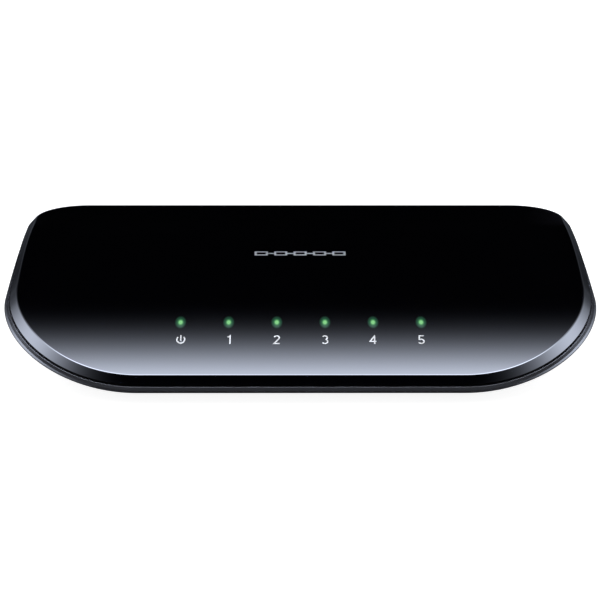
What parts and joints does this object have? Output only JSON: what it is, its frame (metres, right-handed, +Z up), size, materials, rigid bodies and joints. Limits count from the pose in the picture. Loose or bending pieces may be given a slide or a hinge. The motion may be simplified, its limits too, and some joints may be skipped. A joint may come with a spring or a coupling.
{
  "type": "desktop network switch",
  "caption": "Low, wide desktop network switch with a curved glossy black cover, front status lights, rear network sockets and a power inlet.",
  "frame": {"origin": "middle of the footprint, on the surface that the feet stand on", "axes": "+X along the width, -Y towards the front with the lights, +Y towards the rear with the ports, +Z up"},
  "size_m": [0.165, 0.108, 0.028],
  "materials": {
    "gloss_cover": "high gloss black",
    "case_plastic": "fine satin texture",
    "foot_rubber": "matt",
    "label_film": "printed film, blank",
    "screw_steel": "zinc plated",
    "port_plastic": "moulded",
    "contact_gold": "gold flash",
    "contact_nickel": "nickel plated",
    "board_laminate": "solder resist",
    "component_plastic": "moulded epoxy",
    "led_lens": "lit",
    "light_guide": "clear, lit from below",
    "thermal_pad": "soft",
    "sink_aluminium": "black anodised",
    "can_steel": "drawn can",
    "can_aluminium": "sleeved can",
    "chip_ceramic": "ceramic chips"
  },
  "bodies": {
    "chassis": {"top_cover": "gloss_cover", "bottom_case": "case_plastic", "rubber_foot_front_left": "foot_rubber", "rubber_foot_front_right": "foot_rubber", "rubber_foot_rear_left": "foot_rubber", "rubber_foot_rear_right": "foot_rubber", "base_label": "label_film", "case_screws": "screw_steel", "board_screws": "screw_steel", "port_block": "port_plastic", "inlet_housing": "port_plastic", "contact_leads_1": "contact_gold", "port_transformer_1": "component_plastic", "contact_leads_2": "contact_gold", "port_transformer_2": "component_plastic", "contact_leads_3": "contact_gold", "port_transformer_3": "component_plastic", "contact_leads_4": "contact_gold", "port_transformer_4": "component_plastic", "contact_leads_5": "contact_gold", "port_transformer_5": "component_plastic", "inlet_centre_pin": "contact_nickel", "inlet_terminals": "contact_nickel", "circuit_board": "board_laminate", "led_power": "led_lens", "light_guide_power": "light_guide", "led_1": "led_lens", "light_guide_1": "light_guide", "led_2": "led_lens", "light_guide_2": "light_guide", "led_3": "led_lens", "light_guide_3": "light_guide", "led_4": "led_lens", "light_guide_4": "light_guide", "led_5": "led_lens", "light_guide_5": "light_guide", "switch_chip": "component_plastic", "memory_chip": "component_plastic", "voltage_regulator": "component_plastic", "power_choke": "component_plastic", "thermal_pad": "thermal_pad", "heat_sink": "sink_aluminium", "crystal": "can_steel", "input_capacitor": "can_aluminium", "output_capacitor": "can_aluminium", "core_capacitor": "can_aluminium", "chip_resistors": "chip_ceramic", "chip_capacitors": "chip_ceramic"},
    "port_1_contacts": {"contact_fingers_1": "contact_gold"},
    "port_2_contacts": {"contact_fingers_2": "contact_gold"},
    "port_3_contacts": {"contact_fingers_3": "contact_gold"},
    "port_4_contacts": {"contact_fingers_4": "contact_gold"},
    "port_5_contacts": {"contact_fingers_5": "contact_gold"},
    "inlet_leaf": {"inlet_spring_leaf": "contact_nickel"}
  },
  "joints": [
    {"name": "port_1_contact_spring", "type": "hinge", "parent": "chassis", "child": "port_1_contacts", "pos_m": [0.03394, 0.0492, 0.00975], "axis": [1, 0, 0], "range_deg": [0, 12], "stiffness_Nm_per_rad": 0.28, "springref_deg": -2.86},
    {"name": "port_2_contact_spring", "type": "hinge", "parent": "chassis", "child": "port_2_contacts", "pos_m": [0.01997, 0.0492, 0.00975], "axis": [1, 0, 0], "range_deg": [0, 12], "stiffness_Nm_per_rad": 0.28, "springref_deg": -2.86},
    {"name": "port_3_contact_spring", "type": "hinge", "parent": "chassis", "child": "port_3_contacts", "pos_m": [0.006, 0.0492, 0.00975], "axis": [1, 0, 0], "range_deg": [0, 12], "stiffness_Nm_per_rad": 0.28, "springref_deg": -2.86},
    {"name": "port_4_contact_spring", "type": "hinge", "parent": "chassis", "child": "port_4_contacts", "pos_m": [-0.00797, 0.0492, 0.00975], "axis": [1, 0, 0], "range_deg": [0, 12], "stiffness_Nm_per_rad": 0.28, "springref_deg": -2.86},
    {"name": "port_5_contact_spring", "type": "hinge", "parent": "chassis", "child": "port_5_contacts", "pos_m": [-0.02194, 0.0492, 0.00975], "axis": [1, 0, 0], "range_deg": [0, 12], "stiffness_Nm_per_rad": 0.28, "springref_deg": -2.86},
    {"name": "inlet_leaf_spring", "type": "hinge", "parent": "chassis", "child": "inlet_leaf", "pos_m": [-0.046, 0.041, 0.01135], "axis": [-1, 0, 0], "range_deg": [0, 10], "stiffness_Nm_per_rad": 0.115, "springref_deg": -2.86}
  ]
}
